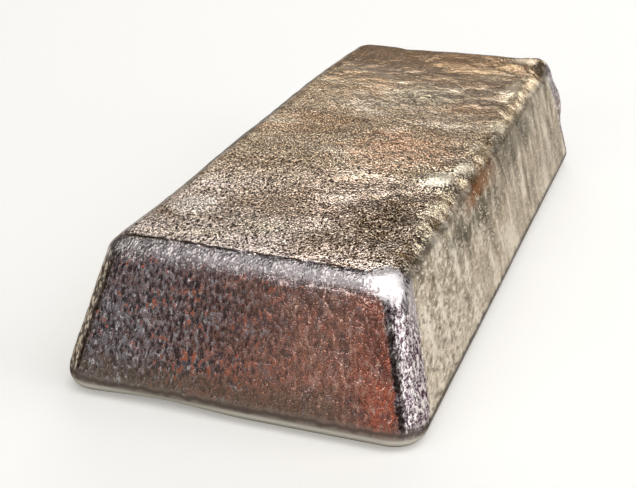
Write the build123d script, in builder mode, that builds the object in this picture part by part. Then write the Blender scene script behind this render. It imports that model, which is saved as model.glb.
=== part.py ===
# A cast pewter ingot: one solid bar, lying as it does in a stack, poured face down.
# Millimetres. +Z is up, +Y runs along the bar, and the origin is the middle of the face it rests on.
from build123d import *
import os
from math import radians, tan

# The open mouth of the mould, measured where its walls would meet the level of the metal
mouth_length = 182.0
mouth_width = 71.0
mouth_corner_radius = 7.5

# The cavity, which narrows evenly towards its floor on all four sides
cavity_depth = 29.0
wall_draft = 15.7
floor_corner_radius = 4.6

# Rounded edges: the mould's floor corner, and the bead where molten metal draws in from the wall
floor_edge_radius = 3.2
meniscus_radius = 3.4

floor_inset = cavity_depth * tan(radians(wall_draft))
floor_length = mouth_length - 2 * floor_inset
floor_width = mouth_width - 2 * floor_inset

with BuildPart() as ingot:
    # The bar as the cavity shapes it, from the mouth up to the mould's floor
    with BuildSketch(Plane.XY):
        RectangleRounded(mouth_width, mouth_length, mouth_corner_radius)
    with BuildSketch(Plane.XY.offset(cavity_depth)):
        RectangleRounded(floor_width, floor_length, floor_corner_radius)
    loft()

    # The mould's floor leaves an even round, and the poured face ends in a fuller bead
    fillet(ingot.faces().sort_by(Axis.Z)[-1].edges(), floor_edge_radius)
    fillet(ingot.faces().sort_by(Axis.Z)[0].edges(), meniscus_radius)

ingot.part.label = "ingot"

os.makedirs("parts", exist_ok=True)
export_step(ingot.part, "parts/ingot.step")

box = ingot.part.bounding_box()
print("ingot", [round(side, 2) for side in box.size], "mm,", round(ingot.part.volume / 1000, 1), "cm3")
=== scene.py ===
# A cast pewter ingot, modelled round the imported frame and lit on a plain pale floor
import math
from functools import partial

import bmesh
import bpy
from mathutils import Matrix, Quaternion, Vector


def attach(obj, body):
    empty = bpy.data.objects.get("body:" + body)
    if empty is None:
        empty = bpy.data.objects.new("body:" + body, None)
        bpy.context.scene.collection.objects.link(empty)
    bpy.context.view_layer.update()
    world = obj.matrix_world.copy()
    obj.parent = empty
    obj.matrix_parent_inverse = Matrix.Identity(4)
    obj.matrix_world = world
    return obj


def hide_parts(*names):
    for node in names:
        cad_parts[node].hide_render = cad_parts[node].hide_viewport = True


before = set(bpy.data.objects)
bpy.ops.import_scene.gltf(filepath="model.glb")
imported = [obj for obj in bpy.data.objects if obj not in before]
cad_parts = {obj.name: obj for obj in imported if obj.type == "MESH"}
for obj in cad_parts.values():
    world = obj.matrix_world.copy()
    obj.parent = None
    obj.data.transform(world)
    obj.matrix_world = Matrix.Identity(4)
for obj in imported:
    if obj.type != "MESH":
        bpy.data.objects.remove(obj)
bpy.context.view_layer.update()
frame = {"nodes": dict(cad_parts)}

mmPerMetre = 1000
print("frame loaded:", ", ".join(frame["nodes"]))


def toLinear(hexColour):
    parts = [int(hexColour[i:i + 2], 16) / 255 for i in (1, 3, 5)]
    return [c / 12.92 if c <= 0.04045 else ((c + 0.055) / 1.055) ** 2.4 for c in parts] + [1.0]


def putNode(tree, kind, inputs=None, **settings):
    # adds a node and gives back its first output; an input is a link, a hex colour or a value
    node = tree.nodes.new(kind)
    for name, value in settings.items():
        setattr(node, name, value)
    for name, value in (inputs or {}).items():
        named = [s for s in node.inputs if s.name == name and s.enabled]
        socket = named[0] if named else node.inputs[name]
        if isinstance(value, bpy.types.NodeSocket):
            tree.links.new(value, socket)
        elif isinstance(value, str):
            socket.default_value = toLinear(value)
        else:
            socket.default_value = value
    return next((s for s in node.outputs if s.enabled), node)


def pick(kind, test):
    # selects the verts or edges of the mesh in edit mode that pass the test
    bpy.context.tool_settings.mesh_select_mode = (kind == "verts", kind == "edges", False)
    bpy.ops.mesh.select_all(action="DESELECT")
    mesh = bmesh.from_edit_mesh(bpy.context.object.data)
    for part in getattr(mesh, kind):
        part.select_set(test(part))
    bmesh.update_edit_mesh(bpy.context.object.data)


# The bar: a mould's cavity turned over, so the mouth is down and the walls draw in to the top
bar = {
    "mouth": (0.071, 0.182),        # width and length at the poured face, before its bead
    "mouthCorner": 0.0075,
    "depth": 0.029,
    "draft": 15.7,                  # degrees, the same on all four walls
    "floorCorner": 0.0046,
    "floorEdge": 0.0037,            # round where the walls met the mould's floor
    "floorEdgeShape": 0.36,         # 0.5 is a true round, 0.25 a flat
    "meniscus": 0.0034,             # bead round the poured face
    "cornerSteps": 10,              # facets round each upright edge
    "rimSteps": 8,                  # and round the rims
    "weld": 0.00002,                # points closer than this are joined
    "meshSize": 0.00068,            # fine enough to carry the cast relief
    "swell": (0.042, 0.0007),       # size and height of the slow unevenness of each face
    "lumps": (0.0055, 0.00040),
    "grain": (0.0017, 0.00020),
    "swellStart": (0.6, 6.0),       # height where the swell starts and the rise in which it grows to full, mm
    "reliefStart": (2.5, 4.0),      # the same for the lumps and the grain
    "nudges": [                     # place, shift and reach of knocks and pulls in the casting, mm
        ((-14, -90, 0), (0, 0.3, 0.6), 17),
        ((14, 82, 29), (0, 0, 0.9), 26),
        ((30, 83.5, 19.5), (1.4, 0.5, 0.2), 9),
        ((26.5, 4, 28), (-0.6, 0, -0.5), 8),
        ((26.8, -36, 28), (-0.5, 0, -0.5), 7),
        ((-22, -81.5, 28.3), (0, 0.5, -0.4), 6),
        ((-26.8, -5, 28), (-0.7, 0, 0.35), 55),
        ((-26.8, 48, 28), (-1.1, 0, 0.45), 55),
        ((-12, 84, 27.5), (0, -0.6, -0.5), 6),
        ((25.5, -81, 27.5), (-0.8, 0.9, -0.8), 6.5),
        ((22, -29, 29), (0, 0, 0.5), 7),
        ((25.5, -18, 28.7), (0.3, 0, 0.5), 7),
        ((25.5, 16, 28.7), (0.3, 0, 0.5), 8),
        ((23, -58, 29), (0, 0, 0.5), 6),
        ((24, 46, 29), (0.2, 0, 0.5), 8),
        ((20, 72, 29), (0, 0, 0.5), 6),
        ((-21, -62, 29), (0, 0, 0.35), 6),
        ((24, 80.5, 29), (0.7, 0.4, 0.9), 8),
        ((26.5, 71, 28), (-0.6, 0, -0.6), 5),
    ],
}


def castBar():
    width, length = bar["mouth"]
    depth = bar["depth"]
    bpy.ops.object.select_all(action="DESELECT")
    bpy.ops.mesh.primitive_cube_add(size=1, location=(0, 0, depth / 2), scale=(width, length, depth))
    piece = bpy.context.object
    piece.name = "cast_bar"
    bpy.ops.object.transform_apply(location=True, rotation=True, scale=True)
    bpy.ops.object.mode_set(mode="EDIT")

    # round the uprights, then draw each top corner in and tighten it
    pick("edges", lambda edge: abs(edge.verts[0].co.z - edge.verts[1].co.z) > depth / 2)
    bpy.ops.mesh.bevel(offset=bar["mouthCorner"], offset_type="OFFSET", segments=bar["cornerSteps"],
                       profile=0.5, affect="EDGES")
    drawIn = depth * math.tan(math.radians(bar["draft"]))
    tighten = bar["floorCorner"] / bar["mouthCorner"]
    shift = bar["mouthCorner"] - drawIn - bar["floorCorner"]
    for sideX in (-1, 1):
        for sideY in (-1, 1):
            pick("verts", lambda v: v.co.z > depth / 2 and v.co.x * sideX > 0 and v.co.y * sideY > 0)
            middle = Vector((sideX * (width / 2 - bar["mouthCorner"]),
                             sideY * (length / 2 - bar["mouthCorner"]), depth))
            bpy.ops.transform.resize(value=(tighten, tighten, 1), center_override=middle)
            bpy.ops.transform.translate(value=(sideX * shift, sideY * shift, 0))

    # the mould's floor rounds the top rim, and surface tension the bottom one
    halfTurn = math.tan(math.radians(90 - bar["draft"]) / 2)
    pick("edges", lambda edge: all(v.co.z > depth * 0.99 for v in edge.verts))
    bpy.ops.mesh.bevel(offset=bar["floorEdge"] * halfTurn, offset_type="OFFSET",
                       segments=bar["rimSteps"], profile=bar["floorEdgeShape"])
    pick("edges", lambda edge: all(v.co.z < depth * 0.01 for v in edge.verts))
    bpy.ops.mesh.bevel(offset=bar["meniscus"] / halfTurn, offset_type="OFFSET",
                       segments=bar["rimSteps"], profile=0.5)
    bpy.ops.mesh.select_all(action="SELECT")
    bpy.ops.mesh.remove_doubles(threshold=bar["weld"])
    bpy.ops.mesh.normals_make_consistent(inside=False)
    bpy.ops.object.mode_set(mode="OBJECT")
    print("bar shaped:", len(piece.data.polygons), "faces")

    # even fine mesh to carry the relief
    fine = piece.modifiers.new("even_mesh", "REMESH")
    fine.mode = "VOXEL"
    fine.voxel_size = bar["meshSize"]
    fine.use_smooth_shade = True
    bpy.ops.object.modifier_apply(modifier=fine.name)
    print("even mesh:", len(piece.data.polygons), "faces")

    # knocks and pulls: the nearest point is moved and takes its surroundings along
    bpy.ops.object.mode_set(mode="EDIT")
    bpy.context.tool_settings.mesh_select_mode = (True, False, False)
    for place, shift, reach in bar["nudges"]:
        bpy.ops.mesh.select_all(action="DESELECT")
        mesh = bmesh.from_edit_mesh(piece.data)
        spot = Vector(place) / mmPerMetre
        nearest = min(mesh.verts, key=lambda v: (v.co - spot).length_squared)
        nearest.select_set(True)
        bmesh.update_edit_mesh(piece.data)
        bpy.ops.transform.translate(value=Vector(shift) / mmPerMetre, use_proportional_edit=True,
                                    proportional_edit_falloff="SMOOTH", proportional_size=reach / mmPerMetre)
    bpy.ops.object.mode_set(mode="OBJECT")

    # cast relief, which dies away into the smooth bead
    relief = piece.vertex_groups.new(name="relief")
    slow = piece.vertex_groups.new(name="slow")
    swellFrom, swellRise = bar["swellStart"]
    reliefFrom, reliefRise = bar["reliefStart"]
    for v in piece.data.vertices:
        height = v.co.z * mmPerMetre
        rise = min(max((height - reliefFrom) / reliefRise, 0), 1)
        relief.add([v.index], rise * rise * (3 - 2 * rise), "REPLACE")
        slow.add([v.index], min(max((height - swellFrom) / swellRise, 0), 1), "REPLACE")
    for name, group in (("swell", "slow"), ("lumps", "relief"), ("grain", "relief")):
        size, height = bar[name]
        pattern = bpy.data.textures.new(name, "CLOUDS")
        pattern.noise_basis = "IMPROVED_PERLIN"
        pattern.noise_scale = size
        pattern.noise_depth = 2
        push = piece.modifiers.new(name, "DISPLACE")
        push.texture = pattern
        push.texture_coords = "LOCAL"
        push.direction = "NORMAL"
        push.mid_level = 0.5
        push.strength = height
        push.vertex_group = group
        bpy.ops.object.modifier_apply(modifier=push.name)
    bpy.ops.object.shade_smooth()
    print("relief done:", sum(len(p.vertices) - 2 for p in piece.data.polygons), "triangles")
    return piece


# Cast pewter: tin that froze against a mould, so it is bright metal under a fine pebbled skin. The top has a
# warm tarnish and the ends a smoky red-brown heat tint, both partly a painted reflection of a warm room; the
# walls are paler, with painted reflection and glints, and the rims are rubbed bright, with painted sparkle.
skin = {
    # top
    "topPale": "#bcb0aa", "topOlive": "#b09e88", "topBrown": "#c8ae8c", "topRose": "#cba483",
    "driftBrown": "#937f69", "driftPale": "#d3c8b6", "farBand": "#8c7057",
    "topPit": "#3c2f25", "topCrestHighlight": "#d6cab9",
    # ends
    "endMid": "#845d50", "endRed": "#976e60", "endOrange": "#b0604a", "endGrey": "#676164",
    "endSmoke": "#54443f", "endSoot": "#392f31", "endRust": "#9c5a45", "endBlue": "#7d7a80",
    "endRose": "#b08d80", "endOlive": "#63564a", "endGlint": "#aaa5a6",
    # walls
    "wallPale": "#d2c7b7", "wallGrey": "#c0b3a0", "wallDeep": "#6f675a", "wallHighlight": "#f0e8da",
    # long edges, rims of the ends, bead
    "cream": "#e6d8bd", "edgeBrown": "#77634a", "crease": "#2b201a", "upright": "#5d5550",
    "bare": "#afa7a9", "rimSparkle": "#e0d8d6", "mauve": "#533a48", "corner": "#e0dada",
    "bead": "#857c74", "beadHighlight": "#cfcdc2", "underside": "#b9b1a6",
    # sizes of the patterns, mm
    "pebble": 0.38,                       # grain of the top
    "ripple": 4.0,
    "crust": 0.70,                        # grain of the ends
    "speck": 0.60,                        # bright grains on walls and rims
    "ragged": 2.0,                        # bites out of the borders between the faces
    "bite": 1.1,
    "mottle": 4.0,
    "patch": 22.222,
    "cloud": 33.333,
    "drift": (25, 10, 20),
    "streak": (10.417, 6.25, 13.889),     # drag marks on the walls
    "dapple": (1.6667, 2.0833, 0.92593),
    "strokes": (0.83333, 0.83333, 3.125),  # upright strokes in the red of the ends
    # heights of the relief that is too fine for the mesh, mm
    "pebbleHeight": (0.36, 0.17),         # under thin and under thick tarnish
    "pebbleFar": 0.4,                     # share that is left at the far end
    "rippleHeight": (0.7, 0.42),          # near and far
    "crustHeight": 0.66,
    "streakHeight": 0.30,
    "speckHeight": 0.12,
    # roughness
    "topRough": (0.13, 0.17), "farRough": 0.26, "paintedHighlightRough": 0.30, "wallRough": 0.32,
    "endRough": 0.20, "cornerRough": 0.34, "beadRough": 0.22,
    "edgeTint": 0.7,                      # how far the tarnish keeps its colour where it is seen edge on
    "whiteCorner": (25.7, -80.2, 28.7),   # mm
    "patchRag": 1.6,                      # how ragged the listed patches are
    "stainsAndShade": [                           # place and reach in mm, colour and share of each patch: tarnish, with painted shade where marked
        ((8, -12, 29), (15, 18, 6), "#cfa283", 0.5),
        # near right: dark brown tarnish and a painted darker reflection
        ((17, -58, 29), (16, 26, 4), "#5a4936", 0.8),
        ((-14, 2, 29), (14, 13, 4), "#8f6f4c", 0.5),
        ((2, 32, 29), (16, 14, 4), "#b5ab93", 0.5),
        ((-20, -58, 29), (8, 12, 4), "#cbbdb2", 0.6),
        ((28.6, -18, 26), (4.2, 23, 4.2), "#966b4b", 0.85),
        ((31, -40, 23), (4, 18, 5), "#57564c", 0.75),
        ((30, 30, 24), (5, 34, 6), "#6b675b", 0.5),
        ((-30, 20, 24), (5, 40, 6), "#6b6458", 0.5),
        ((-29, -30, 25), (3.5, 20, 3.5), "#96643f", 0.6),
        # painted shade: a dark line along the left long edge
        ((-26.8, -10, 28.2), (1.9, 90, 2.2), "#2e241d", 0.9),
        ((30, -20, 21), (3, 14, 5), "#5d5747", 0.75),
    ],
    "paintedHighlightPatches": [                             # the same for pale patches painted in as highlights
        ((21.5, -28.5, 29), (5.5, 8, 3), "#f3ead8", 0.9),
        ((25, -18.5, 29), (2.6, 8, 2.5), "#f3ead8", 0.9),
        ((25.2, -2.6, 28.8), (3, 7, 2.5), "#eadfc9", 0.7),
        ((26, 14, 28.6), (2.6, 8, 2.5), "#f0e6d2", 0.8),
        ((24.6, -47, 29), (3, 7, 2.5), "#eadfc9", 0.6),
        ((23.5, 48, 29), (3, 14, 2.5), "#eadfc9", 0.7),
        ((21, 77, 29), (7, 6, 3), "#eadfc9", 0.6),
        ((-18.7, -61, 29), (6, 7, 3), "#e3dbd2", 0.6),
    ],
}


def pewterSkin():
    material = bpy.data.materials.new("cast_pewter")
    material.use_nodes = True
    material.node_tree.nodes.clear()
    put = partial(putNode, material.node_tree)
    smooth = {"interpolation_type": "SMOOTHSTEP"}
    tint = {"data_type": "RGBA"}

    # place on the bar in mm, and the depth below each of its faces
    here = put("ShaderNodeTexCoord").node.outputs["Object"]
    mm = put("ShaderNodeVectorMath", {0: here, "Scale": mmPerMetre}, operation="SCALE")
    x, y, z = put("ShaderNodeSeparateXYZ", {0: mm}).node.outputs
    lean = math.radians(bar["draft"])
    wallFacing = (math.cos(lean), 0, math.sin(lean))
    endFacing = (0, math.cos(lean), math.sin(lean))
    toWall, toEnd = [side / 2 * mmPerMetre * math.cos(lean) for side in bar["mouth"]]
    folded = put("ShaderNodeVectorMath", {0: mm}, operation="ABSOLUTE")
    acrossWall = put("ShaderNodeVectorMath", {0: folded, 1: wallFacing}, operation="DOT_PRODUCT")
    acrossEnd = put("ShaderNodeVectorMath", {0: folded, 1: endFacing}, operation="DOT_PRODUCT")
    inSide = put("ShaderNodeMath", {0: toWall, 1: acrossWall}, operation="SUBTRACT")
    inEnd = put("ShaderNodeMath", {0: toEnd, 1: acrossEnd}, operation="SUBTRACT")
    inTop = put("ShaderNodeMath", {0: bar["depth"] * mmPerMetre, 1: z}, operation="SUBTRACT")

    # which face this is, with ragged borders in mm; each difference is 0 in the middle of a rounded edge
    ragged = put("ShaderNodeTexNoise", {"Vector": mm, "Scale": 1 / skin["ragged"], "Detail": 3})
    ragged = put("ShaderNodeMapRange", {"Value": ragged, "To Min": -skin["bite"], "To Max": skin["bite"]})
    endTop = put("ShaderNodeMath", {0: inTop, 1: inEnd}, operation="SUBTRACT")
    endTop = put("ShaderNodeMath", {0: endTop, 1: ragged})
    endSide = put("ShaderNodeMath", {0: inSide, 1: inEnd}, operation="SUBTRACT")
    endSide = put("ShaderNodeMath", {0: endSide, 1: ragged})
    sideTop = put("ShaderNodeMath", {0: inTop, 1: inSide}, operation="SUBTRACT")
    sideTopRagged = put("ShaderNodeMath", {0: sideTop, 1: ragged})
    endLow = put("ShaderNodeMapRange", {"Value": endTop, "From Min": 0.4, "From Max": 4.2}, **smooth)
    endIn = put("ShaderNodeMapRange", {"Value": endSide, "From Min": 2.4, "From Max": 3.2}, **smooth)
    onEnd = put("ShaderNodeMath", {0: endLow, 1: endIn}, operation="MULTIPLY")
    onSide = put("ShaderNodeMapRange", {
        "Value": sideTopRagged, "From Min": -2.0, "From Max": 2.0,
    }, **smooth)
    onTop = put("ShaderNodeMapRange", {"Value": sideTopRagged, "From Min": 2.0, "From Max": -1.0}, **smooth)

    # the rubbed rims of the ends, which reach further round the right wall
    further = put("ShaderNodeMapRange", {
        "Value": x, "From Min": 20, "From Max": 26, "To Max": -5.0,
    }, **smooth)
    roundEnd = put("ShaderNodeMath", {0: onSide, 1: further, 2: inEnd}, operation="MULTIPLY_ADD")
    roundEnd = put("ShaderNodeMath", {0: ragged, 1: roundEnd})
    onRim = put("ShaderNodeMapRange", {"Value": roundEnd, "From Min": 3.8, "From Max": 2.2}, **smooth)
    beadEdge = put("ShaderNodeMath", {0: ragged, 1: 0.8, 2: z}, operation="MULTIPLY_ADD")
    onBead = put("ShaderNodeMapRange", {"Value": beadEdge, "From Min": 5.2, "From Max": 2.8}, **smooth)
    onBase = put("ShaderNodeMapRange", {"Value": z, "From Min": 0.6, "From Max": 0.15}, **smooth)

    # grain, drawn twice as long along the top and twice as tall on the ends and walls
    drawn = put("ShaderNodeMapping", {"Vector": mm, "Scale": (1, 0.5, 1)})
    pebble = put("ShaderNodeTexNoise", {"Vector": drawn, "Scale": 1 / skin["pebble"], "Detail": 1})
    ripple = put("ShaderNodeTexNoise", {"Vector": drawn, "Scale": 1 / skin["ripple"], "Detail": 2})
    tall = put("ShaderNodeMapping", {"Vector": mm, "Scale": (1, 1, 0.5)})
    crust = put("ShaderNodeTexNoise", {
        "Vector": tall, "Scale": 1 / skin["crust"], "Detail": 2, "Roughness": 0.6,
    })
    speck = put("ShaderNodeTexNoise", {"Vector": tall, "Scale": 1 / skin["speck"], "Detail": 1})

    # slow patterns of tarnish
    mottle = put("ShaderNodeTexNoise", {
        "Vector": mm, "Scale": 1 / skin["mottle"], "Detail": 4, "Roughness": 0.6,
    })
    patch = put("ShaderNodeTexNoise", {"Vector": mm, "Scale": 1 / skin["patch"], "Detail": 2})
    cloud = put("ShaderNodeTexNoise", {
        "Vector": mm, "Scale": 1 / skin["cloud"], "Detail": 4, "Distortion": 0.6,
    })
    cloudy = put("ShaderNodeMapRange", {
        "Value": cloud, "From Min": 0.36, "From Max": 0.64, "To Min": -0.3, "To Max": 0.3,
    })
    drift = put("ShaderNodeMapping", {"Vector": mm, "Scale": [1 / s for s in skin["drift"]]})
    drift = put("ShaderNodeTexNoise", {
        "Vector": drift, "Scale": 1.0, "Detail": 5, "Roughness": 0.6, "Distortion": 0.4,
    })

    def awayFrom(place, reach):
        # distance from a listed patch, about 1 at its border, with a ragged edge
        scale = [1 / r for r in reach]
        shift = [-p / r for p, r in zip(place, reach)]
        away = put("ShaderNodeVectorMath", {0: mm, 1: scale, 2: shift}, operation="MULTIPLY_ADD")
        away = put("ShaderNodeVectorMath", {0: away}, operation="LENGTH")
        return put("ShaderNodeMath", {0: mottle, 1: skin["patchRag"], 2: away}, operation="MULTIPLY_ADD")

    def lineAt(value, middle, outer, inner, share=1.0):
        # a soft line where a value passes its middle
        off = put("ShaderNodeMath", {0: value, 1: middle}, operation="SUBTRACT")
        off = put("ShaderNodeMath", {0: off}, operation="ABSOLUTE")
        return put("ShaderNodeMapRange", {
            "Value": off, "From Min": outer, "From Max": inner, "To Max": share,
        }, **smooth)

    # top: warm tarnish, partly a painted reflection of a warm room; paler at the near left as a painted
    # reflection, lighter and browner to the far end partly as painted light, rosy here and there
    nearLeft = put("ShaderNodeVectorMath", {0: mm, 1: (-0.35, -0.94, 0)}, operation="DOT_PRODUCT")
    nearLeft = put("ShaderNodeMapRange", {"Value": nearLeft, "From Min": 10, "From Max": 75}, **smooth)
    pale = put("ShaderNodeMath", {0: nearLeft, 1: cloudy}, use_clamp=True)
    far = put("ShaderNodeMapRange", {"Value": y, "From Min": 10, "From Max": 75}, **smooth)
    top = put("ShaderNodeMix", {"Factor": far, "A": skin["topOlive"], "B": skin["topBrown"]}, **tint)
    top = put("ShaderNodeMix", {"Factor": pale, "A": top, "B": skin["topPale"]}, **tint)
    rosy = put("ShaderNodeMapRange", {
        "Value": patch, "From Min": 0.45, "From Max": 0.8, "To Max": 0.4,
    }, **smooth)
    top = put("ShaderNodeMix", {"Factor": rosy, "A": top, "B": skin["topRose"]}, **tint)
    darker = put("ShaderNodeMapRange", {
        "Value": drift, "From Min": 0.5, "From Max": 0.34, "To Max": 0.6,
    }, **smooth)
    top = put("ShaderNodeMix", {"Factor": darker, "A": top, "B": skin["driftBrown"]}, **tint)
    lighter = put("ShaderNodeMapRange", {
        "Value": drift, "From Min": 0.5, "From Max": 0.66, "To Max": 0.6,
    }, **smooth)
    top = put("ShaderNodeMix", {"Factor": lighter, "A": top, "B": skin["driftPale"]}, **tint)
    band = put("ShaderNodeMath", {0: cloudy, 1: 20, 2: y}, operation="MULTIPLY_ADD")
    band = put("ShaderNodeMapRange", {
        "Value": band, "From Min": 58, "From Max": 76, "To Max": 0.75,
    }, **smooth)
    top = put("ShaderNodeMix", {"Factor": band, "A": top, "B": skin["farBand"]}, **tint)

    # walls: darker upwards and to the back as a painted reflection, drawn into upright streaks that are
    # partly drag marks from the mould and partly painted reflection, the pale ones painted highlights
    high = put("ShaderNodeMapRange", {"Value": z, "From Min": 6, "From Max": 27, "To Max": 0.6}, **smooth)
    back = put("ShaderNodeMapRange", {"Value": y, "From Min": -75, "From Max": 30, "To Max": 0.6}, **smooth)
    shade = put("ShaderNodeMath", {0: high, 1: back})
    shade = put("ShaderNodeMath", {0: shade, 1: cloudy}, use_clamp=True)
    wall = put("ShaderNodeMix", {"Factor": shade, "A": skin["wallPale"], "B": skin["wallGrey"]}, **tint)
    streak = put("ShaderNodeMapping", {"Vector": mm, "Scale": [1 / s for s in skin["streak"]]})
    streak = put("ShaderNodeTexNoise", {"Vector": streak, "Scale": 1.0, "Detail": 2, "Roughness": 0.55})
    deep = put("ShaderNodeMapRange", {
        "Value": streak, "From Min": 0.53, "From Max": 0.34, "To Max": 0.75,
    }, **smooth)
    deep = put("ShaderNodeMath", {0: deep, 1: shade}, operation="MULTIPLY")
    wall = put("ShaderNodeMix", {"Factor": deep, "A": wall, "B": skin["wallDeep"]}, **tint)
    lit = put("ShaderNodeMapRange", {
        "Value": streak, "From Min": 0.51, "From Max": 0.65, "To Max": 0.7,
    }, **smooth)
    wall = put("ShaderNodeMix", {"Factor": lit, "A": wall, "B": skin["wallHighlight"]}, **tint)

    # spots on the walls, stronger towards the near end: dark mottling and painted glints
    dapple = put("ShaderNodeMapping", {"Vector": mm, "Scale": [1 / s for s in skin["dapple"]]})
    dapple = put("ShaderNodeTexNoise", {"Vector": dapple, "Scale": 1.0, "Detail": 3, "Roughness": 0.6})
    spotty = put("ShaderNodeMapRange", {"Value": y, "From Min": 0, "From Max": -65, "To Min": 0.42})
    dim = put("ShaderNodeMapRange", {
        "Value": dapple, "From Min": 0.5, "From Max": 0.34, "To Max": 0.65,
    }, **smooth)
    dim = put("ShaderNodeMath", {0: dim, 1: spotty}, operation="MULTIPLY")
    wall = put("ShaderNodeMix", {"Factor": dim, "A": wall, "B": skin["wallDeep"]}, **tint)
    lit = put("ShaderNodeMapRange", {
        "Value": dapple, "From Min": 0.53, "From Max": 0.64, "To Max": 0.9,
    }, **smooth)
    lit = put("ShaderNodeMath", {0: lit, 1: spotty}, operation="MULTIPLY")
    wall = put("ShaderNodeMix", {"Factor": lit, "A": wall, "B": skin["wallHighlight"]}, **tint)
    body = put("ShaderNodeMix", {"Factor": onSide, "A": top, "B": wall}, **tint)

    # tarnish in patches, with painted shade where the list marks it
    for place, reach, patchTone, share in skin["stainsAndShade"]:
        over = put("ShaderNodeMapRange", {
            "Value": awayFrom(place, reach), "From Min": 1.8, "From Max": 1.0, "To Max": share,
        }, **smooth)
        body = put("ShaderNodeMix", {"Factor": over, "A": body, "B": patchTone}, **tint)

    # grain: dark in the pits, oxide with painted shade, and pale on the crests of the top as a painted
    # highlight
    pits = put("ShaderNodeMapRange", {"Value": pebble, "From Min": 0.48, "From Max": 0.34}, **smooth)
    dense = put("ShaderNodeMapRange", {"Value": y, "From Min": 40, "From Max": -40, "To Min": 0.1})
    pits = put("ShaderNodeMath", {0: pits, 1: dense}, operation="MULTIPLY")
    pits = put("ShaderNodeMath", {0: pits, 1: onTop}, operation="MULTIPLY")
    body = put("ShaderNodeMix", {"Factor": pits, "A": body, "B": skin["topPit"]}, **tint)
    crest = put("ShaderNodeMapRange", {
        "Value": pebble, "From Min": 0.5, "From Max": 0.66, "To Max": 0.5,
    }, **smooth)
    crest = put("ShaderNodeMath", {0: crest, 1: onTop}, operation="MULTIPLY")
    body = put("ShaderNodeMix", {"Factor": crest, "A": body, "B": skin["topCrestHighlight"]}, **tint)

    # pale patches painted in as highlights, on the crests of the grain first
    onPaintedHighlight = 0.0
    for place, reach, metal, share in skin["paintedHighlightPatches"]:
        away = put("ShaderNodeMath", {
            0: pebble, 1: -skin["patchRag"], 2: awayFrom(place, reach),
        }, operation="MULTIPLY_ADD")
        over = put("ShaderNodeMapRange", {
            "Value": away, "From Min": 1.0, "From Max": 0.3, "To Max": share,
        }, **smooth)
        body = put("ShaderNodeMix", {"Factor": over, "A": body, "B": metal}, **tint)
        onPaintedHighlight = put("ShaderNodeMath", {0: onPaintedHighlight, 1: over}, operation="MAXIMUM")

    # painted glints: bright specks on the walls
    flash = put("ShaderNodeMix", {"Factor": 0.25, "A": pebble, "B": mottle})
    flash = put("ShaderNodeMapRange", {"Value": flash, "From Min": 0.6, "From Max": 0.66}, **smooth)
    flash = put("ShaderNodeMath", {0: flash, 1: onSide}, operation="MULTIPLY")
    body = put("ShaderNodeMix", {"Factor": flash, "A": body, "B": skin["wallHighlight"]}, **tint)

    # long edges, brown in places, the right one also pale with wear and painted highlights
    edge = lineAt(sideTopRagged, -1.2, 3.2, 0.8)
    stained = put("ShaderNodeMapRange", {
        "Value": mottle, "From Min": 0.52, "From Max": 0.4, "To Max": 0.7,
    }, **smooth)
    stained = put("ShaderNodeMath", {0: edge, 1: stained}, operation="MULTIPLY")
    body = put("ShaderNodeMix", {"Factor": stained, "A": body, "B": skin["edgeBrown"]}, **tint)
    wearAndHighlight = put("ShaderNodeMix", {"Factor": 0.3, "A": mottle, "B": speck})
    wearAndHighlight = put("ShaderNodeMapRange", {"Value": wearAndHighlight, "From Min": 0.5, "From Max": 0.62}, **smooth)
    wearAndHighlight = put("ShaderNodeMath", {0: edge, 1: wearAndHighlight}, operation="MULTIPLY")
    rightHalf = put("ShaderNodeMapRange", {"Value": x, "From Min": -5, "From Max": 5})
    wearAndHighlight = put("ShaderNodeMath", {0: rightHalf, 1: wearAndHighlight}, operation="MULTIPLY")
    body = put("ShaderNodeMix", {"Factor": wearAndHighlight, "A": body, "B": skin["cream"]}, **tint)

    # ends: heat tint, partly a painted reflection of a warm room, red-brown to the right and smoky grey to
    # the left
    redder = put("ShaderNodeMapRange", {"Value": x, "From Min": -2, "From Max": 18}, **smooth)
    end = put("ShaderNodeMix", {"Factor": redder, "A": skin["endMid"], "B": skin["endRed"]}, **tint)
    orange = put("ShaderNodeMapRange", {
        "Value": x, "From Min": 17, "From Max": 28, "To Max": 0.9,
    }, **smooth)
    end = put("ShaderNodeMix", {"Factor": orange, "A": end, "B": skin["endOrange"]}, **tint)
    greyer = put("ShaderNodeMapRange", {"Value": x, "From Min": 12, "From Max": -26}, **smooth)
    mottled = put("ShaderNodeMapRange", {
        "Value": mottle, "From Min": 0.3, "From Max": 0.7, "To Min": -0.6, "To Max": 0.6,
    })
    greyer = put("ShaderNodeMath", {0: greyer, 1: mottled}, use_clamp=True)
    end = put("ShaderNodeMix", {"Factor": greyer, "A": end, "B": skin["endGrey"]}, **tint)
    smoky = put("ShaderNodeMapRange", {
        "Value": drift, "From Min": 0.52, "From Max": 0.36, "To Max": 0.5,
    }, **smooth)
    end = put("ShaderNodeMix", {"Factor": smoky, "A": end, "B": skin["endSmoke"]}, **tint)

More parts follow.
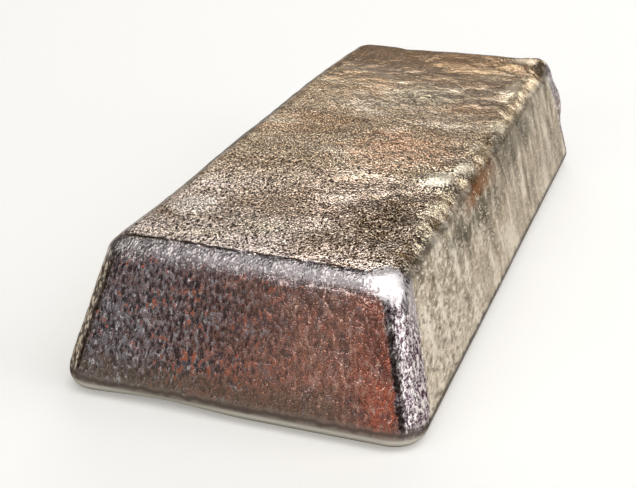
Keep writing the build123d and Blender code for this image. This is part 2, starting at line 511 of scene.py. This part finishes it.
    # soot in the pits of the crust, and rust or blue on its crests
    crusty = put("ShaderNodeMapRange", {
        "Value": x, "From Min": 17, "From Max": -12, "To Min": 0.42,
    }, **smooth)
    soot = put("ShaderNodeMapRange", {
        "Value": crust, "From Min": 0.53, "From Max": 0.38, "To Max": 0.95,
    }, **smooth)
    soot = put("ShaderNodeMath", {0: soot, 1: crusty}, operation="MULTIPLY")
    end = put("ShaderNodeMix", {"Factor": soot, "A": end, "B": skin["endSoot"]}, **tint)
    rust = put("ShaderNodeMix", {"Factor": 0.5, "A": mottle, "B": drift})
    rusting = put("ShaderNodeMapRange", {
        "Value": x, "From Min": -27, "From Max": -10, "To Min": -0.09, "To Max": 0.05,
    })
    rust = put("ShaderNodeMath", {0: rust, 1: rusting})
    rust = put("ShaderNodeMapRange", {"Value": rust, "From Min": 0.46, "From Max": 0.54}, **smooth)
    fleck = put("ShaderNodeMix", {"Factor": rust, "A": skin["endBlue"], "B": skin["endRust"]}, **tint)
    flecked = put("ShaderNodeMapRange", {
        "Value": crust, "From Min": 0.52, "From Max": 0.61, "To Max": 0.95,
    }, **smooth)
    flecked = put("ShaderNodeMath", {0: flecked, 1: crusty}, operation="MULTIPLY")
    end = put("ShaderNodeMix", {"Factor": flecked, "A": end, "B": fleck}, **tint)

    # soft upright strokes in the red, a smoky foot, and pale grains in the grey painted in as glints
    strokes = put("ShaderNodeMapping", {"Vector": mm, "Scale": [1 / s for s in skin["strokes"]]})
    strokes = put("ShaderNodeTexNoise", {"Vector": strokes, "Scale": 1.0, "Detail": 3, "Distortion": 0.6})
    paler = put("ShaderNodeMapRange", {
        "Value": strokes, "From Min": 0.5, "From Max": 0.66, "To Max": 0.8,
    }, **smooth)
    paler = put("ShaderNodeMath", {0: paler, 1: redder}, operation="MULTIPLY")
    end = put("ShaderNodeMix", {"Factor": paler, "A": end, "B": skin["endRose"]}, **tint)
    dusky = put("ShaderNodeMapRange", {
        "Value": strokes, "From Min": 0.46, "From Max": 0.32, "To Max": 0.6,
    }, **smooth)
    dusky = put("ShaderNodeMath", {0: dusky, 1: redder}, operation="MULTIPLY")
    end = put("ShaderNodeMix", {"Factor": dusky, "A": end, "B": skin["endSmoke"]}, **tint)
    foot = put("ShaderNodeMapRange", {
        "Value": beadEdge, "From Min": 11, "From Max": 5, "To Max": 0.65,
    }, **smooth)
    inward = put("ShaderNodeMapRange", {"Value": x, "From Min": 26, "From Max": 16}, **smooth)
    foot = put("ShaderNodeMath", {0: foot, 1: inward}, operation="MULTIPLY")
    end = put("ShaderNodeMix", {"Factor": foot, "A": end, "B": skin["endOlive"]}, **tint)
    paintedGlint = put("ShaderNodeMapRange", {
        "Value": speck, "From Min": 0.58, "From Max": 0.7, "To Max": 0.8,
    }, **smooth)
    paintedGlint = put("ShaderNodeMath", {0: paintedGlint, 1: greyer}, operation="MULTIPLY")
    end = put("ShaderNodeMix", {"Factor": paintedGlint, "A": end, "B": skin["endGlint"]}, **tint)

    # rims of the ends rubbed to bare metal with dark specks and painted sparkle, and a sooty left upright
    speckled = put("ShaderNodeMapRange", {
        "Value": pebble, "From Min": 0.56, "From Max": 0.45, "To Max": 0.95,
    }, **smooth)
    speckled = put("ShaderNodeMath", {0: speckled, 1: endLow}, operation="MULTIPLY")
    speckle = put("ShaderNodeMix", {"Factor": far, "A": skin["mauve"], "B": skin["edgeBrown"]}, **tint)
    rim = put("ShaderNodeMix", {"Factor": speckled, "A": skin["bare"], "B": speckle}, **tint)
    paintedSparkle = put("ShaderNodeMapRange", {"Value": speck, "From Min": 0.5, "From Max": 0.62}, **smooth)
    rim = put("ShaderNodeMix", {"Factor": paintedSparkle, "A": rim, "B": skin["rimSparkle"]}, **tint)
    colour = put("ShaderNodeMix", {"Factor": onRim, "A": body, "B": rim}, **tint)
    leftMost = put("ShaderNodeMapRange", {"Value": x, "From Min": -20, "From Max": -25}, **smooth)
    sooty = put("ShaderNodeMapRange", {
        "Value": endSide, "From Min": -5.0, "From Max": -2.0, "To Max": 0.9,
    }, **smooth)
    sooty = put("ShaderNodeMath", {0: leftMost, 1: sooty}, operation="MULTIPLY")
    sooty = put("ShaderNodeMath", {0: sooty, 1: endLow}, operation="MULTIPLY")
    dusty = put("ShaderNodeMapRange", {
        "Value": speck, "From Min": 0.45, "From Max": 0.6, "To Max": 0.6,
    }, **smooth)
    dusty = put("ShaderNodeMix", {"Factor": dusty, "A": skin["upright"], "B": skin["cream"]}, **tint)
    colour = put("ShaderNodeMix", {"Factor": sooty, "A": colour, "B": dusty}, **tint)
    colour = put("ShaderNodeMix", {"Factor": onEnd, "A": colour, "B": end}, **tint)

    # dark crease just inside the rims, broken here and there
    creaseIn = put("ShaderNodeMath", {0: lineAt(endSide, 2.3, 0.95, 0.35), 1: endLow}, operation="MULTIPLY")
    flatTop = put("ShaderNodeMapRange", {"Value": sideTop, "From Min": -1.5, "From Max": -3.0}, **smooth)
    creaseTop = put("ShaderNodeMath", {0: lineAt(endTop, -2.9, 0.68, 0.22), 1: flatTop}, operation="MULTIPLY")
    short = put("ShaderNodeMapRange", {"Value": x, "From Min": 22, "From Max": 19}, **smooth)
    creaseTop = put("ShaderNodeMath", {0: creaseTop, 1: short}, operation="MULTIPLY")
    crease = put("ShaderNodeMath", {0: creaseIn, 1: creaseTop}, operation="MAXIMUM")
    broken = put("ShaderNodeMapRange", {
        "Value": mottle, "From Min": 0.32, "From Max": 0.5, "To Min": 0.2, "To Max": 0.88,
    }, **smooth)
    crease = put("ShaderNodeMath", {0: crease, 1: broken}, operation="MULTIPLY")
    colour = put("ShaderNodeMix", {"Factor": crease, "A": colour, "B": skin["crease"]}, **tint)

    # near right corner painted almost white
    fromCorner = put("ShaderNodeVectorMath", {0: mm, 1: skin["whiteCorner"]}, operation="DISTANCE")
    fromCorner = put("ShaderNodeMath", {0: ragged, 1: 1.2, 2: fromCorner}, operation="MULTIPLY_ADD")
    fromCorner = put("ShaderNodeMath", {0: speck, 1: -6.0, 2: fromCorner}, operation="MULTIPLY_ADD")
    onCorner = put("ShaderNodeMapRange", {"Value": fromCorner, "From Min": 2.0, "From Max": 0.4}, **smooth)
    colour = put("ShaderNodeMix", {"Factor": onCorner, "A": colour, "B": skin["corner"]}, **tint)

    # bead: dull, with a dark line above it and a painted highlight line along its middle
    beaded = put("ShaderNodeMath", {0: onBead, 1: 0.85}, operation="MULTIPLY")
    colour = put("ShaderNodeMix", {"Factor": beaded, "A": colour, "B": skin["bead"]}, **tint)
    aboveBead = lineAt(beadEdge, 3.4, 0.9, 0.1, 0.6)
    colour = put("ShaderNodeMix", {"Factor": aboveBead, "A": colour, "B": skin["crease"]}, **tint)
    beadHighlightLine = lineAt(z, 1.7, 1.1, 0.2, 0.8)
    colour = put("ShaderNodeMix", {"Factor": beadHighlightLine, "A": colour, "B": skin["beadHighlight"]}, **tint)
    colour = put("ShaderNodeMix", {"Factor": onBase, "A": colour, "B": skin["underside"]}, **tint)

    # height of the skin in mm: pebbles and ripples on the top, which are calmer to the far end
    nearHeight, farHeight = skin["rippleHeight"]
    rippleHeight = put("ShaderNodeMapRange", {"Value": far, "To Min": nearHeight, "To Max": farHeight})
    rippleUp = put("ShaderNodeMath", {0: ripple, 1: 0.5}, operation="SUBTRACT")
    rippleUp = put("ShaderNodeMath", {0: rippleUp, 1: rippleHeight}, operation="MULTIPLY")
    thin, thick = skin["pebbleHeight"]
    pebbleHeight = put("ShaderNodeMapRange", {
        "Value": cloud, "From Min": 0.36, "From Max": 0.64, "To Min": thin, "To Max": thick,
    })
    calm = put("ShaderNodeMapRange", {"Value": far, "To Min": 1.0, "To Max": skin["pebbleFar"]})
    pebbleHeight = put("ShaderNodeMath", {0: pebbleHeight, 1: calm}, operation="MULTIPLY")
    pebbleUp = put("ShaderNodeMath", {0: pebble, 1: 0.5}, operation="SUBTRACT")
    pebbleUp = put("ShaderNodeMath", {0: pebbleUp, 1: pebbleHeight, 2: rippleUp}, operation="MULTIPLY_ADD")

    # crust on the ends, faint drag on the walls, none on the bead
    up = {}
    for name, pattern in (("crust", crust), ("streak", streak), ("speck", speck)):
        half = skin[name + "Height"] / 2
        up[name] = put("ShaderNodeMapRange", {"Value": pattern, "To Min": -half, "To Max": half})
    crustUp = put("ShaderNodeMath", {0: up["crust"], 1: crusty}, operation="MULTIPLY")
    wallUp = put("ShaderNodeMath", {0: up["speck"], 1: up["streak"]})
    height = put("ShaderNodeMix", {"Factor": onSide, "A": pebbleUp, "B": wallUp})
    rubbed = put("ShaderNodeMapRange", {"Value": onRim, "To Min": 1.0, "To Max": 0.95})
    height = put("ShaderNodeMath", {0: height, 1: rubbed}, operation="MULTIPLY")
    height = put("ShaderNodeMix", {"Factor": onEnd, "A": height, "B": crustUp})
    plain = put("ShaderNodeMath", {0: onCorner, 1: 0.6}, operation="MULTIPLY")
    plain = put("ShaderNodeMath", {0: onBead, 1: plain}, operation="MAXIMUM")
    height = put("ShaderNodeMix", {"Factor": plain, "A": height, "B": 0.0})
    bump = put("ShaderNodeBump", {"Height": height, "Distance": 1 / mmPerMetre, "Strength": 1.0})

    # bright and fine-grained on the top and ends, duller on the walls and on the pale patches painted in as
    # highlights
    offRim = put("ShaderNodeMath", {0: 1.0, 1: onRim}, operation="SUBTRACT")
    onWall = put("ShaderNodeMath", {0: onSide, 1: offRim}, operation="MULTIPLY")
    least, most = skin["topRough"]
    roughness = put("ShaderNodeMapRange", {
        "Value": patch, "From Min": 0.35, "From Max": 0.65, "To Min": least, "To Max": most,
    })
    for place, name in ((far, "far"), (onPaintedHighlight, "paintedHighlight"), (onWall, "wall"),
                        (onEnd, "end"), (onCorner, "corner"), (onBead, "bead")):
        roughness = put("ShaderNodeMix", {"Factor": place, "A": roughness, "B": skin[name + "Rough"]})
    edgeTint = put("ShaderNodeMix", {"Factor": skin["edgeTint"], "A": "#ffffff", "B": colour}, **tint)
    metal = put("ShaderNodeBsdfPrincipled", {
        "Base Color": colour, "Metallic": 1.0, "Roughness": roughness,
        "Specular Tint": edgeTint, "Normal": bump,
    })
    put("ShaderNodeOutputMaterial", {"Surface": metal})
    return material


ingot = castBar()
ingot.data.materials.append(pewterSkin())
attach(ingot, "root")
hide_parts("ingot")
print("pewter on")

# Floor and light: a pale sweep, soft boxes, and a dim surround that the metal can turn against
studio = {
    "floorSize": 12.0,
    "floorColour": "#f3f2ef",
    "floorLift": 0.25,            # the paper's own glow for the eye and the metal, which keeps its shadow
    "horizon": "#d6d4d0",
    "overhead": "#6c6966",
    "horizonFade": (0.03, 0.28),  # how high above the floor the pale turns to the dim
    "boxes": [                    # name, place, width and height of the face, and its brightness
        ("glint_box", (-0.24, 0.80, 0.55), (0.46, 0.16), 6.7),
        ("back_box", (-0.68, 0.80, 0.50), (0.36, 0.30), 1.2),
        ("rim_box", (0.21, 0.98, 0.31), (0.32, 0.20), 2.8),
        ("right_box", (0.55, 0.08, 0.80), (0.80, 1.00), 1.55),
        ("corner_box", (0.50, -0.62, 0.62), (0.40, 0.40), 0.9),
        ("low_box", (1.00, -0.14, 0.28), (0.70, 0.44), 1.5),
        ("front_box", (-0.10, -1.00, 0.44), (1.20, 0.18), 3.6),
        ("top_box", (-0.20, -0.33, 1.20), (1.20, 1.30), 0.9),
    ],
}


def studioRoom():
    bpy.ops.object.select_all(action="DESELECT")
    bpy.ops.mesh.primitive_plane_add(size=studio["floorSize"], location=(0, 0, 0))
    floor = bpy.context.object
    floor.name = "floor"
    paper = bpy.data.materials.new("white_paper")
    paper.use_nodes = True
    paper.node_tree.nodes.clear()
    put = partial(putNode, paper.node_tree)
    path = put("ShaderNodeLightPath").node.outputs
    seen = put("ShaderNodeMath", {0: path["Is Camera Ray"], 1: path["Is Glossy Ray"]}, operation="MAXIMUM")
    seen = put("ShaderNodeMath", {0: seen, 1: path["Is Transmission Ray"]}, operation="MAXIMUM")
    lift = put("ShaderNodeMath", {0: seen, 1: studio["floorLift"]}, operation="MULTIPLY")
    coat = put("ShaderNodeBsdfDiffuse", {"Color": studio["floorColour"]})
    glow = put("ShaderNodeEmission", {"Color": studio["floorColour"], "Strength": lift})
    sheet = put("ShaderNodeAddShader", {0: coat, 1: glow})
    put("ShaderNodeOutputMaterial", {"Surface": sheet})
    floor.data.materials.append(paper)

    world = bpy.data.worlds.new("studio")
    bpy.context.scene.world = world
    world.use_nodes = True
    world.node_tree.nodes.clear()
    put = partial(putNode, world.node_tree)
    look = put("ShaderNodeTexCoord").node.outputs["Generated"]
    up = put("ShaderNodeSeparateXYZ", {0: look}).node.outputs[2]
    low, high = studio["horizonFade"]
    fade = put("ShaderNodeMapRange", {
        "Value": up, "From Min": low, "From Max": high,
    }, interpolation_type="SMOOTHSTEP")
    sky = put("ShaderNodeMix", {
        "Factor": fade, "A": studio["horizon"], "B": studio["overhead"],
    }, data_type="RGBA")
    glow = put("ShaderNodeBackground", {"Color": sky, "Strength": 1.0})
    put("ShaderNodeOutputWorld", {"Surface": glow})

    for name, place, size, brightness in studio["boxes"]:
        light = bpy.data.lights.new(name, "AREA")
        light.shape = "RECTANGLE"
        light.size, light.size_y = size
        light.energy = brightness * math.pi * size[0] * size[1]
        box = bpy.data.objects.new(name, light)
        box.location = place
        box.rotation_euler = (-Vector(place)).to_track_quat("-Z", "Y").to_euler()
        box.visible_camera = False
        bpy.context.collection.objects.link(box)


studioRoom()
print("studio lit")

# Camera: where the photograph was taken from, turned to the bar and zoomed in on it
view = {
    "place": (0.0760, -0.2890, 0.1204),
    "aim": (-0.00095, -0.03797, 0.015),
    "roll": 2.194,                # degrees
    "lens": 77.0,                 # mm
    "sensor": 36,                 # mm wide
    "nearest": 0.01,              # nothing closer to the camera is drawn
}
eye = bpy.data.cameras.new("eye")
eye.lens = view["lens"]
eye.sensor_width = view["sensor"]
eye.clip_start = view["nearest"]
camera = bpy.data.objects.new("eye", eye)
camera.location = view["place"]
towards = (Vector(view["aim"]) - Vector(view["place"])).to_track_quat("-Z", "Y")
camera.rotation_mode = "QUATERNION"
camera.rotation_quaternion = towards @ Quaternion((0, 0, 1), math.radians(view["roll"]))
bpy.context.collection.objects.link(camera)
bpy.context.scene.camera = camera
bpy.context.scene.view_settings.view_transform = "Standard"
print("camera set")
